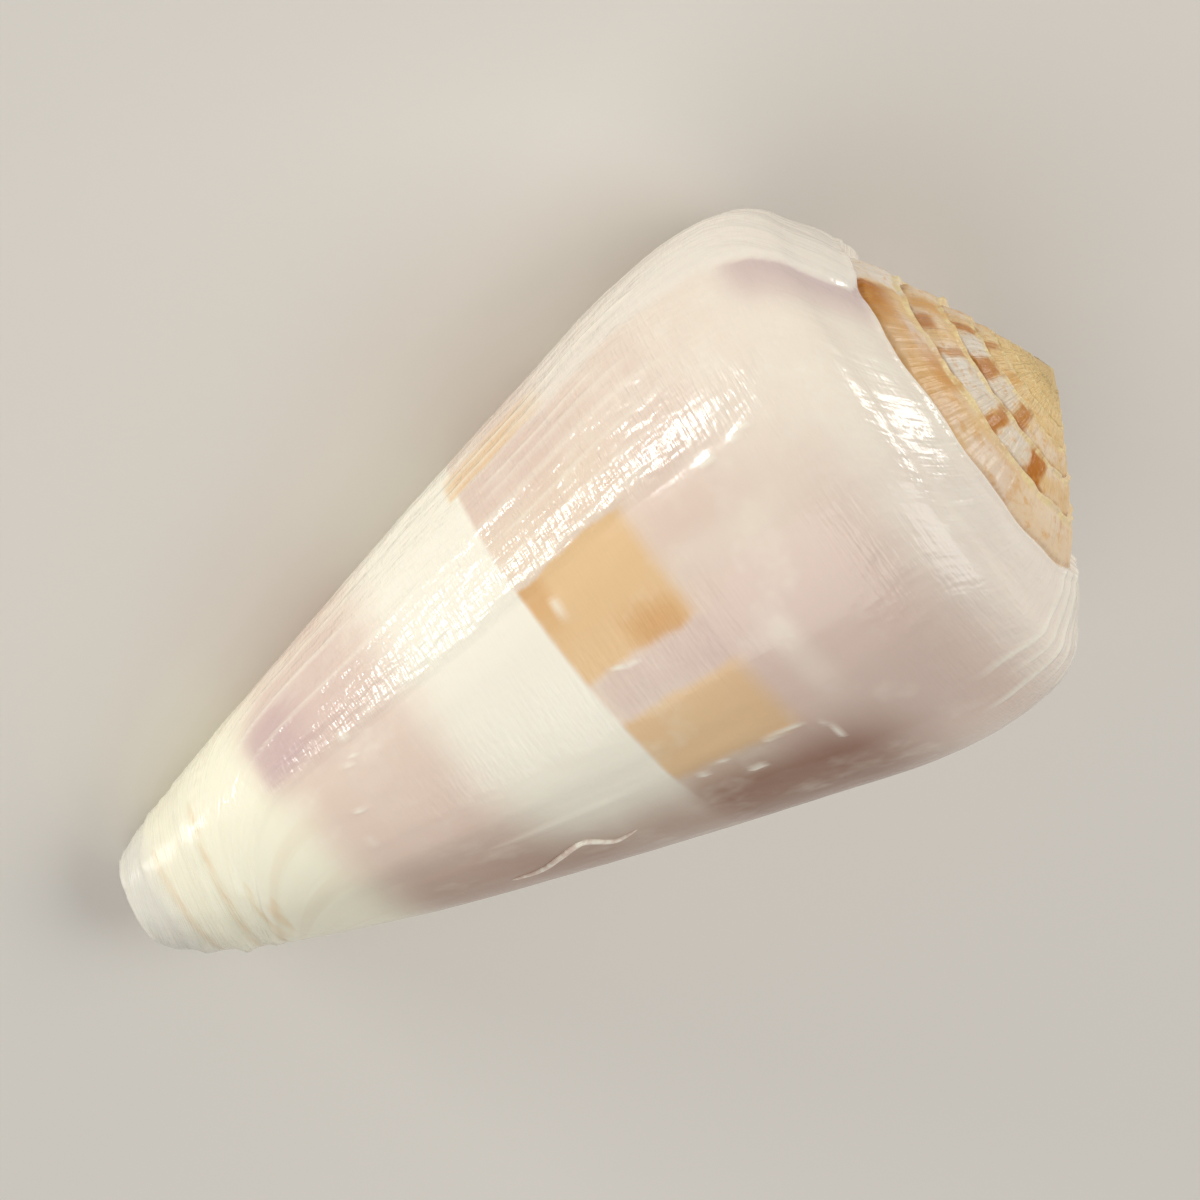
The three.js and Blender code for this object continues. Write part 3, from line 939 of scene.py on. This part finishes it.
# Markings of the last whorl: tint, start and end growth line in turns back from the lip, low and
# high edge in mm from the front, each with its softness after it, then the strength
WHORL_MARKINGS = (
    ("rose", 0.28, 0.05, 0.62, 0.1, 14, 2.5, 23, 2.5, 0.75),
    ("lilac", 0.14, 0.03, 0.26, 0.03, 12.5, 1.5, 21.5, 3, 0.8),
    ("violet", 0.165, 0.02, 0.243, 0.012, 12.6, 0.5, 16.5, 1.8, 0.6),
    ("cream", -0.1, 0.02, 0.455, 0.05, 23, 2.6, 31.7, 0.2, 0.95),
    ("cream", 0.64, 0.1, 1.2, 0.02, 24, 2.4, 31.7, 0.5, 0.5),
    ("sand", 0.155, 0.01, 0.47, 0.05, 31.75, 0.2, 41, 1.6, 0.35),
    ("rose", 0.24, 0.05, 0.62, 0.05, 39, 3, 51.5, 2, 0.7),
    ("lilac", 0.33, 0.05, 0.5, 0.05, 37, 2, 49, 3, 0.65),
    ("lilac", 0.152, 0.004, 0.2, 0.02, 31.75, 0.2, 41, 3, 0.6),
    ("tan", 0.253, 0.002, 0.33, 0.004, 31.75, 0.2, 39.3, 0.7, 0.85),
    ("amber", 0.31, 0.012, 0.332, 0.004, 35.6, 0.8, 38.8, 0.8, 0.5),
    ("amber", 0.253, 0.002, 0.285, 0.02, 31.75, 0.2, 33.2, 0.7, 0.4),
    ("lilac", 0.333, 0.004, 0.364, 0.004, 32.2, 0.5, 40, 1.2, 0.6),
    ("tan", 0.364, 0.004, 0.424, 0.006, 31.75, 0.2, 39.6, 1, 0.75),
    ("tan", 0.118, 0.008, 0.151, 0.003, 31, 0.3, 38.5, 1, 0.65),
    # The umber rows darken the lower side of the last whorl: partly its own brown, partly painted shade of
    # the side turned from the lights
    ("umber_and_shade", 0.44, 0.03, 0.6, 0.09, 31.9, 1.2, 43, 3.5, 0.88),
    ("umber_and_shade", 0.42, 0.06, 0.62, 0.1, 13, 3, 24, 3.5, 0.55),
    ("umber_and_shade", 0.447, 0.035, 0.61, 0.1, 22, 3, 32.5, 1, 0.6),
    ("cream", 0.295, 0.012, 0.31, 0.02, 40, 2, 47, 2, 0.35),
    ("cream", 0.35, 0.015, 0.41, 0.02, 41.6, 0.7, 43.4, 0.8, 0.3),
    ("tan", 0.7, 0.006, 0.76, 0.004, 31.75, 0.2, 39.2, 0.7, 0.7),
    ("tan", 0.81, 0.004, 0.855, 0.006, 31.75, 0.2, 39.4, 0.6, 0.6),
    ("tan", 0.9, 0.004, 0.955, 0.006, 31.75, 0.2, 39, 0.8, 0.7),
    ("cream", 0.1, 0.02, 0.3, 0.05, 46, 3, 60, 1, 0.45),
    ("pearl", -0.1, 0.02, 0.155, 0.006, 38, 3, 60, 1, 0.8),
    ("pearl", 0.3, 0.05, 1.2, 0.02, 50.5, 2, 60, 1, 0.7),
)

# Markings of the spire, as turns back from the lip and shares of the band's width
SPIRE_MARKINGS = (
    ("pearl", 0.03, 0.01, 0.142, 0.008, -0.1, 0.05, 1.1, 0.05, 0.8),
    ("rust", 0.148, 0.006, 0.2, 0.02, -0.1, 0.05, 0.5, 0.25, 1),
    ("ochre", 0.165, 0.02, 0.245, 0.02, -0.1, 0.05, 0.55, 0.2, 0.5),
    ("amber", 0.24, 0.012, 0.285, 0.015, 0.5, 0.15, 0.98, 0.05, 0.85),
    ("ochre", 0.25, 0.02, 0.32, 0.03, -0.1, 0.05, 0.6, 0.15, 0.45),
    ("lilac", 0.2, 0.02, 0.245, 0.02, 0.5, 0.15, 0.95, 0.1, 0.4),
    ("lilac", 0.34, 0.02, 0.4, 0.02, -0.1, 0.05, 0.95, 0.1, 0.25),
    ("sand", 0.4, 0.02, 0.6, 0.03, -0.1, 0.05, 0.95, 0.1, 0.6),
    ("rust", 0.486, 0.006, 0.494, 0.006, 0.6, 0.1, 1.1, 0.05, 0.6),
    ("ochre", 1.12, 0.01, 1.16, 0.015, 0.1, 0.1, 0.95, 0.05, 0.8),
    ("rust", 1.17, 0.006, 1.195, 0.006, -0.1, 0.05, 0.45, 0.1, 0.8),
    ("rust", 1.229, 0.004, 1.242, 0.004, -0.1, 0.05, 1, 0.05, 0.6),
    ("mist", 1.246, 0.008, 1.322, 0.006, 0.05, 0.05, 0.9, 0.1, 0.65),
    ("rust", 1.324, 0.005, 1.35, 0.006, -0.1, 0.05, 1, 0.05, 0.85),
    ("mist", 1.353, 0.006, 1.405, 0.01, 0.05, 0.05, 0.85, 0.1, 0.6),
    ("rust", 1.405, 0.006, 1.438, 0.006, -0.1, 0.05, 0.9, 0.1, 1),
    ("rust", 2.15, 0.006, 2.182, 0.008, -0.1, 0.05, 0.95, 0.1, 0.85),
    ("mist", 2.185, 0.01, 2.235, 0.01, 0.05, 0.05, 0.9, 0.1, 0.6),
    ("rust", 2.238, 0.008, 2.28, 0.008, -0.1, 0.05, 0.95, 0.1, 0.8),
    ("mist", 2.285, 0.01, 2.34, 0.01, 0.05, 0.05, 0.9, 0.1, 0.55),
    ("rust", 2.346, 0.008, 2.378, 0.008, -0.1, 0.05, 0.95, 0.1, 0.8),
    ("rust", 3.18, 0.008, 3.205, 0.01, -0.1, 0.05, 0.9, 0.1, 0.75),
    ("ochre", 3.27, 0.01, 3.31, 0.01, -0.1, 0.05, 0.9, 0.1, 0.6),
)


# Noise patterns of the last whorl: steps per turn and per mm, layer, detail and roughness
WHORL_DRIFT = (9.0, 0.35, 2.0, 3.0)
WHORL_CLOUDS = (6.0, 0.18, 4.0, 3.0)
WHORL_VEIL = (26.0, 0.30, 12.0, 4.0, 0.6)
WHORL_BANDS = (34.0, 0.04, 8.0, 3.0)

# How the bands of colour climb in mm per turn from the given turn, and how far drift moves them
SPIRAL_CLIMB = 7.0
SPIRAL_START = 0.3
DRIFT_TURNS = 0.012
DRIFT_ALONG = 0.7
CREASE_DRIFT = 0.5

# Soft steps on the last whorl: where each starts and ends, then its value at both
CLOUD_STEP = (0.35, 0.7)
VEIL_STEP = (0.45, 0.75, 0.0, 0.45)
FRONT_STEP = (16.0, 11.0)
YOUNG_STEP = (0.262, 0.250, 0.16, 1.0)
UPPER_STEP = (48.0, 43.0, 0.45, 1.0)
LOWER_STEP = (10.0, 24.0, 0.3, 1.0)
SHOULDER_STEP = (45.0, 50.0, 0.0, 0.55)
BANDS_STEP = (0.48, 0.66, 0.0, 0.22)
# Tan of the front creases, partly their own colour and partly painted shade
CREASE_SHADE_STEP = (0.36, 0.04, 0.0, 0.36)
RIM_STEP = (3.6, 1.6, 0.0, 0.75)

STREAK_SHARE = 0.22
FLAP_SHADOW_SHARE = 0.65
FLAP_SHARE = 0.8

# Noise patterns of the spire: steps per turn and per band, layer, detail and roughness
SPIRE_DRIFT = (30.0, 2.0, 3.0, 3.0)
SPIRE_CLOUDS = (16.0, 1.5, 7.0, 4.0)
SPIRE_FLAMES = (11.0, 0.7, 11.0, 2.0)
SPIRE_STAINS = (62.0, 5.0, 13.0, 4.0, 0.6)
SPIRE_WEAR = (48.0, 1.0, 17.0, 3.0, 0.6)
SPIRE_DRIFT_TURNS = 0.035

# Soft steps on the spire
SAND_STEP = (0.4, 0.65)
AGE_STEP = (2.2, 4.0)
FLAME_STEP = (0.56, 0.6, 0.0, 0.8)
STAIN_STEP = (0.50, 0.68, 0.0, 0.55)
WEAR_STEP = (0.42, 0.62, 0.3, 1.0)
LEDGE_STEP = (0.74, 0.87)
# Painted shadow in the spire's grooves: where it starts across the band, how wear fades it, and how it
# fades on the newest band and near the apex
GROOVE_STEP = (0.15, 0.02)
GROOVE_WEAR_STEP = (1.0, 0.3, 0.3, 0.8)
FRESH_STEP = (0.95, 1.1, 0.35, 1.0)
APEX_STEP = (2.5, 4.0, 1.0, 0.3)

# Flames show only outside the part of each turn that has its own markings
FLAME_SHIFT = 0.4
FLAME_END = (0.44, 0.5)
FLAME_START = (0.98, 1.0)

# Line and thread densities of the fine relief, per turn and per mm, or per band on the spire
WHORL_DENSITY = (95.0, 3.6)
SPIRE_DENSITY = (120.0, 4.0)
INSIDE_DENSITY = (150.0, 12.0)
SCAR_DENSITY = (300.0, 20.0)

# Clouds of the inside and the scar, and their shares of the line and thread heights
INSIDE_CLOUDS = (8.0, 1.5, 6.0, 3.0)
DEEP_STEP = (0.05, 0.45, 0.0, 0.5)
INSIDE_SHARES = (0.25, 0.15)
SCAR_CLOUDS = (220.0, 14.0, 3.0, 2.0)
SCAR_CLOUD_STEP = (0.35, 0.65)
SCAR_SHARES = (0.1, 0.1)


def colour_property(name, description, red, green, blue):
    default = tone(red, green, blue)
    return FloatVectorProperty(name=name, description=description, subtype="COLOR", default=default)


class ShellColours(PropertyGroup):
    """Colours of the shell, as they look under white light; some of them also paint shade and shadow."""

    porcelain: colour_property("Porcelain", "Ground colour of the last whorl", 236, 220, 204)
    cream: colour_property("Cream", "Pale spiral band and shoulder", 251, 246, 230)
    pearl: colour_property("Pearl", "White of the shoulder and of the spire", 240, 232, 220)
    rose: colour_property("Rose", "Pinkish beige zones", 230, 208, 193)
    lilac: colour_property("Lilac", "Lilac beige zones", 221, 197, 186)
    # Violet also paints the shadow beside the flap's edge and tints the inside of the chamber
    violet: colour_property("Violet", "Small violet patch near the front", 198, 170, 172)
    sand: colour_property("Sand", "Band between the tan patches", 234, 212, 184)
    tan: colour_property("Tan", "Tan patches above the pale band", 234, 196, 142)
    # Partly the shell's own brown, partly painted shade on the lower side of the last whorl
    umber_and_shade: colour_property("Umber", "Dusky side of the last whorl", 134, 82, 52)
    ivory: colour_property("Ivory", "Yellowish front end", 250, 246, 223)
    mist: colour_property("Mist", "Greyish white of the front rim and the spire's cells", 224, 222, 214)
    spire: colour_property("Spire", "Ground colour of the spire", 228, 192, 138)
    old_spire: colour_property("Old spire", "Worn whorls near the apex", 236, 204, 142)
    straw: colour_property("Straw", "Worn ledges of the spire", 244, 222, 166)
    # Painted shadow in the grooves along the spire's sutures
    groove_shadow: colour_property("Bark", "Dark seams of the spire", 140, 84, 34)
    amber: colour_property("Amber", "Deepest orange of the patches", 208, 146, 70)
    rust: colour_property("Rust", "Dark bars of the spire", 184, 108, 0)
    ochre: colour_property("Ochre", "Lighter bars of the spire", 216, 158, 76)


class ShellRelief(PropertyGroup):
    """Sizes of the finest relief, which the shaders carry, and the polish."""

    lines: FloatProperty(
        name="Growth lines", description="Height of the fine growth lines in millimetres", default=0.20)
    threads: FloatProperty(
        name="Threads", description="Height of the fine spiral threads in millimetres", default=0.09)
    roughness: FloatProperty(
        name="Roughness", description="Roughness of the polished last whorl", subtype="FACTOR",
        default=0.20)


class ShellStage(PropertyGroup):
    """Camera and floor."""

    azimuth: FloatProperty(
        name="Camera azimuth", description="Direction of the camera, from +X towards +Y",
        subtype="ANGLE", default=math.radians(94.98))
    elevation: FloatProperty(
        name="Camera elevation", description="Height of the camera above the horizon", subtype="ANGLE",
        default=math.radians(64.31))
    roll: FloatProperty(
        name="Camera roll", description="Turn of the camera about its view", subtype="ANGLE",
        default=math.radians(137.75))
    distance: FloatProperty(
        name="Camera distance", description="From the point that the camera looks at",
        subtype="DISTANCE", default=254.65 * MM)
    lens: FloatProperty(
        name="Lens", description="Focal length in millimetres", default=134.13)
    floor: colour_property("Floor", "Colour of the floor", 230, 226, 219)


def add_markings(graph, group, place, markings):
    """Paints the rows of a table of markings over the colour so far."""
    for tint, *edges, strength in markings:
        inputs = {"Colour": graph.colour, "Growth": place[0], "Along": place[1],
                  "Tint": solid(getattr(graph.colours, tint)), "Strength": strength}
        for name, at, softness in zip(EDGES, edges[::2], edges[1::2]):
            inputs.update({name: at, name + " Softness": softness})
        graph.colour = graph.add("ShaderNodeGroup", inputs, node_tree=group).outputs["Colour"]


def new_material(name, colours, ground, roughness, ior=1.6):
    """A material, its graph with the place on the shell and a ground colour, and its shader."""
    material = bpy.data.materials.new(name)
    material.use_nodes = True
    graph = Graph(material.node_tree, colours)
    graph.colour = solid(getattr(colours, ground))
    shader = material.node_tree.nodes["Principled BSDF"]
    shader.inputs["Roughness"].default_value = roughness
    shader.inputs["IOR"].default_value = ior
    place_node = graph.add("ShaderNodeUVMap", {}, uv_map="Shell")
    split = graph.add("ShaderNodeSeparateXYZ", {0: place_node.outputs[0]})
    graph.place = (split.outputs[0], split.outputs[1])
    return material, graph, shader


def add_growth(graph, group, densities, line_height, thread_height):
    """Height in mm of the fine relief, and its pale streaks."""
    inputs = {
        "Growth": graph.place[0], "Along": graph.place[1],
        "Line Density": densities[0], "Thread Density": densities[1],
        "Line Height": line_height, "Thread Height": thread_height}
    node = graph.add("ShaderNodeGroup", inputs, node_tree=group)
    return node.outputs["Height"], node.outputs["Streaks"]


def finish_material(graph, shader, height):
    """Gives the shader the colour so far and the normal of a height in millimetres."""
    normal = graph.add("ShaderNodeBump", {"Strength": 1.0, "Distance": MM, "Height": height})
    graph.put(shader.inputs["Base Color"], graph.colour)
    graph.put(shader.inputs["Normal"], normal.outputs["Normal"])


def whorl_relief(graph, groups, relief):
    """Fine relief of the last whorl, strongest on the part laid down last and weaker at both ends."""
    growth, along = graph.place
    strength = graph.times(graph.scaled(along, *UPPER_STEP), graph.scaled(along, *LOWER_STEP))
    strength = graph.times(graph.scaled(growth, *YOUNG_STEP), strength)
    strength = graph.math("MAXIMUM", strength, graph.scaled(along, *SHOULDER_STEP))
    heights = (graph.times(strength, relief.lines), graph.times(strength, relief.threads))
    return add_growth(graph, groups["growth"], WHORL_DENSITY, *heights)


def whorl_material(groups, colours, relief):
    material, graph, shader = new_material("polished_whorl", colours, "porcelain", relief.roughness)
    growth, label = graph.place
    along = graph.times(label, CM)
    graph.place = (growth, along)
    climb = graph.times(graph.math("SUBTRACT", growth, SPIRAL_START), SPIRAL_CLIMB)
    drift = graph.math("SUBTRACT", graph.pattern(*WHORL_DRIFT), 0.5)
    wavy_growth = graph.math("ADD", growth, graph.times(drift, DRIFT_TURNS))
    wavy_spiral = graph.math("SUBTRACT", along, climb)
    wavy_spiral = graph.math("ADD", wavy_spiral, graph.times(drift, DRIFT_ALONG))
    graph.coat(graph.scaled(graph.pattern(*WHORL_CLOUDS), *CLOUD_STEP), "rose")
    graph.coat(graph.scaled(graph.pattern(*WHORL_VEIL), *VEIL_STEP), "cream")
    graph.coat(graph.scaled(wavy_spiral, *FRONT_STEP), "ivory")
    add_markings(graph, groups["marking"], (wavy_growth, wavy_spiral), WHORL_MARKINGS)
    height, streaks = whorl_relief(graph, groups, relief)
    pale = graph.math("MAXIMUM", graph.times(streaks, STREAK_SHARE), graph.attribute("Raised"))
    graph.coat(pale, "cream")
    bands = graph.scaled(graph.pattern(*WHORL_BANDS), *BANDS_STEP)
    graph.coat(graph.times(bands, graph.scaled(along, *FRONT_STEP)), "sand")
    # Painted violet shadow beside the flap's edge
    graph.coat(graph.times(graph.attribute("Seam"), FLAP_SHADOW_SHARE), "violet")
    graph.coat(graph.times(graph.attribute("Flap"), FLAP_SHARE), "pearl")
    # Tan in the creases behind the front folds: partly the shell's own reddish tan, partly painted shade
    # in the creases
    crease = graph.math("ADD", graph.attribute("Crease"), graph.times(drift, CREASE_DRIFT))
    graph.coat(graph.scaled(crease, *CREASE_SHADE_STEP), "tan")
    graph.coat(graph.scaled(along, *RIM_STEP), "mist")
    finish_material(graph, shader, height)
    shader.inputs["Subsurface Weight"].default_value = 0.12
    shader.inputs["Subsurface Radius"].default_value = (1.0, 0.7, 0.5)
    shader.inputs["Subsurface Scale"].default_value = 1.5 * MM
    return material


def add_groove_shadows(graph, worn):
    """Painted shadow in the grooves of the spire, fading on the part laid down last and near the apex."""
    turns, share = graph.place
    groove = graph.times(graph.scaled(share, *GROOVE_STEP), graph.scaled(worn, *GROOVE_WEAR_STEP))
    fresh = graph.times(graph.scaled(turns, *FRESH_STEP), graph.scaled(turns, *APEX_STEP))
    graph.coat(graph.times(groove, fresh), "groove_shadow")


def spire_material(groups, colours, relief):
    material, graph, shader = new_material("spire", colours, "spire", 0.34, ior=1.45)
    turns, share = graph.place
    drift = graph.math("SUBTRACT", graph.pattern(*SPIRE_DRIFT), 0.5)
    wavy_turns = graph.math("ADD", turns, graph.times(drift, SPIRE_DRIFT_TURNS))
    graph.coat(graph.scaled(graph.pattern(*SPIRE_CLOUDS), *SAND_STEP), "sand")
    graph.coat(graph.scaled(turns, *AGE_STEP), "old_spire")
    fraction = graph.math("FRACT", graph.math("ADD", turns, FLAME_SHIFT))
    hidden = graph.math("SUBTRACT", 1.0, graph.scaled(fraction, *FLAME_END))
    hidden = graph.math("MAXIMUM", hidden, graph.scaled(fraction, *FLAME_START))
    flames = graph.scaled(graph.pattern(*SPIRE_FLAMES), *FLAME_STEP)
    graph.coat(graph.times(flames, hidden), "rust")
    add_markings(graph, groups["marking"], (wavy_turns, share), SPIRE_MARKINGS)
    graph.coat(graph.scaled(graph.pattern(*SPIRE_STAINS), *STAIN_STEP), "ochre")
    worn = graph.scaled(graph.pattern(*SPIRE_WEAR), *WEAR_STEP)
    heights = (relief.lines, relief.threads)
    height, streaks = add_growth(graph, groups["growth"], SPIRE_DENSITY, *heights)
    ledge = graph.times(graph.scaled(share, *LEDGE_STEP), worn)
    graph.coat(graph.math("MAXIMUM", graph.times(streaks, STREAK_SHARE), ledge), "straw")
    add_groove_shadows(graph, worn)
    finish_material(graph, shader, height)
    return material


def inside_material(groups, colours, relief):
    material, graph, shader = new_material("inside", colours, "pearl", 0.30)
    graph.coat(graph.scaled(graph.pattern(*INSIDE_CLOUDS), *CLOUD_STEP), "lilac")
    graph.coat(graph.scaled(graph.place[0], *DEEP_STEP), "violet")
    heights = (relief.lines * INSIDE_SHARES[0], relief.threads * INSIDE_SHARES[1])
    height, _ = add_growth(graph, groups["growth"], INSIDE_DENSITY, *heights)
    finish_material(graph, shader, height)
    return material


def scar_material(groups, colours, relief):
    material, graph, shader = new_material("scar", colours, "cream", relief.roughness)
    graph.coat(graph.scaled(graph.pattern(*SCAR_CLOUDS), *SCAR_CLOUD_STEP), "rose")
    heights = (relief.lines * SCAR_SHARES[0], relief.threads * SCAR_SHARES[1])
    height, _ = add_growth(graph, groups["growth"], SCAR_DENSITY, *heights)
    finish_material(graph, shader, height)
    return material


class SHELL_OT_build(Operator):
    """Builds the shell's visual mesh with its four materials"""

    bl_idname = "shell.build"
    bl_label = "Build the shell"

    def execute(self, context):
        groups = {"marking": marking_group(), "growth": growth_group()}
        colours = context.scene.shell_colours
        relief = context.scene.shell_relief
        mesh = build_shell_mesh()
        for make_material in (whorl_material, spire_material, inside_material, scar_material):
            mesh.materials.append(make_material(groups, colours, relief))
        shell = bpy.data.objects.new("cone_shell", mesh)
        context.scene.collection.objects.link(shell)
        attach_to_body(shell, "root")
        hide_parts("shell")
        return {"FINISHED"}


def middle_of_shell():
    corner, opposite = cad_box
    return (Vector(corner) + Vector(opposite)) / 2.0


# Where the camera looks, from the middle of the shell's box, in millimetres
CAMERA_AIM = (2.2, 3.2, -1.4)

# Softboxes: name, azimuth and elevation in degrees, distance, width and height in mm, watts, colour
LIGHTS = (
    ("window_light", 117.0, 5.0, 520.0, 190.0, 80.0, 1.5, (1.0, 0.98, 0.94)),
    ("left_light", 175.0, 58.0, 620.0, 480.0, 480.0, 1.1, (1.0, 0.985, 0.96)),
    ("side_light", 8.0, 6.0, 560.0, 240.0, 90.0, 0.85, (1.0, 0.98, 0.95)),
    ("spire_light", -20.0, 50.0, 620.0, 420.0, 420.0, 1.3, (1.0, 0.98, 0.95)),
)


def looking_at(aim, azimuth, elevation, distance, roll=0.0):
    """Stands at a distance from the aim in the given direction, facing the aim."""
    outward = Vector((
        math.cos(elevation) * math.cos(azimuth),
        math.cos(elevation) * math.sin(azimuth),
        math.sin(elevation)))
    turned = outward.to_track_quat("Z", "Y").to_matrix() @ Matrix.Rotation(roll, 3, "Z")
    return Matrix.Translation(aim + outward * distance) @ turned.to_4x4()


def add_camera(scene, stage):
    aim = middle_of_shell() + Vector(CAMERA_AIM) * MM
    camera = bpy.data.objects.new("camera", bpy.data.cameras.new("camera"))
    camera.data.lens = stage.lens
    camera.data.clip_start = 0.01
    camera.matrix_world = looking_at(aim, stage.azimuth, stage.elevation, stage.distance, stage.roll)
    scene.collection.objects.link(camera)
    scene.camera = camera


def add_light(scene, name, azimuth, elevation, distance, width, height, watts, colour):
    light = bpy.data.lights.new(name, "AREA")
    light.shape = "RECTANGLE"
    light.size = width * MM
    light.size_y = height * MM
    light.energy = watts
    light.color = colour
    lamp = bpy.data.objects.new(name, light)
    lamp.matrix_world = looking_at(
        middle_of_shell(), math.radians(azimuth), math.radians(elevation), distance * MM)
    scene.collection.objects.link(lamp)


def add_floor(scene, colour):
    half = 1.5
    corners = [(-half, -half, 0), (half, -half, 0), (half, half, 0), (-half, half, 0)]
    mesh = bpy.data.meshes.new("floor")
    mesh.from_pydata(corners, [], [(0, 1, 2, 3)])
    material = bpy.data.materials.new("floor")
    material.use_nodes = True
    shader = material.node_tree.nodes["Principled BSDF"]
    shader.inputs["Base Color"].default_value = solid(colour)
    shader.inputs["Roughness"].default_value = 0.9
    mesh.materials.append(material)
    floor = bpy.data.objects.new("floor", mesh)
    scene.collection.objects.link(floor)


class SHELL_OT_stage(Operator):
    """Adds the floor, the soft lights, the world and the camera"""

    bl_idname = "shell.stage"
    bl_label = "Build the stage"

    def execute(self, context):
        scene = context.scene
        stage = scene.shell_stage
        add_floor(scene, stage.floor)
        for light in LIGHTS:
            add_light(scene, *light)
        add_camera(scene, stage)
        world = bpy.data.worlds.new("studio")
        world.use_nodes = True
        background = world.node_tree.nodes["Background"]
        background.inputs["Color"].default_value = (1.0, 0.98, 0.96, 1.0)
        background.inputs["Strength"].default_value = 0.26
        scene.world = world
        scene.view_settings.view_transform = "Standard"
        return {"FINISHED"}


class SHELL_PT_panel(Panel):
    """Shell settings and the steps that build it"""

    bl_idname = "SHELL_PT_panel"
    bl_label = "Cone shell"
    bl_space_type = "VIEW_3D"
    bl_region_type = "UI"
    bl_category = "Shell"

    def draw(self, context):
        for group in (context.scene.shell_colours, context.scene.shell_relief, context.scene.shell_stage):
            for name in group.bl_rna.properties.keys():
                if name not in ("rna_type", "name"):
                    self.layout.prop(group, name)
        self.layout.operator(SHELL_OT_build.bl_idname)
        self.layout.operator(SHELL_OT_stage.bl_idname)


CLASSES = (ShellColours, ShellRelief, ShellStage, SHELL_OT_build, SHELL_OT_stage, SHELL_PT_panel)


def register():
    for cls in CLASSES:
        bpy.utils.register_class(cls)
    bpy.types.Scene.shell_colours = PointerProperty(type=ShellColours)
    bpy.types.Scene.shell_relief = PointerProperty(type=ShellRelief)
    bpy.types.Scene.shell_stage = PointerProperty(type=ShellStage)


def unregister():
    del bpy.types.Scene.shell_stage
    del bpy.types.Scene.shell_relief
    del bpy.types.Scene.shell_colours
    for cls in reversed(CLASSES):
        bpy.utils.unregister_class(cls)


def main():
    register()
    bpy.ops.shell.build()
    bpy.ops.shell.stage()


if __name__ == "__main__":
    main()
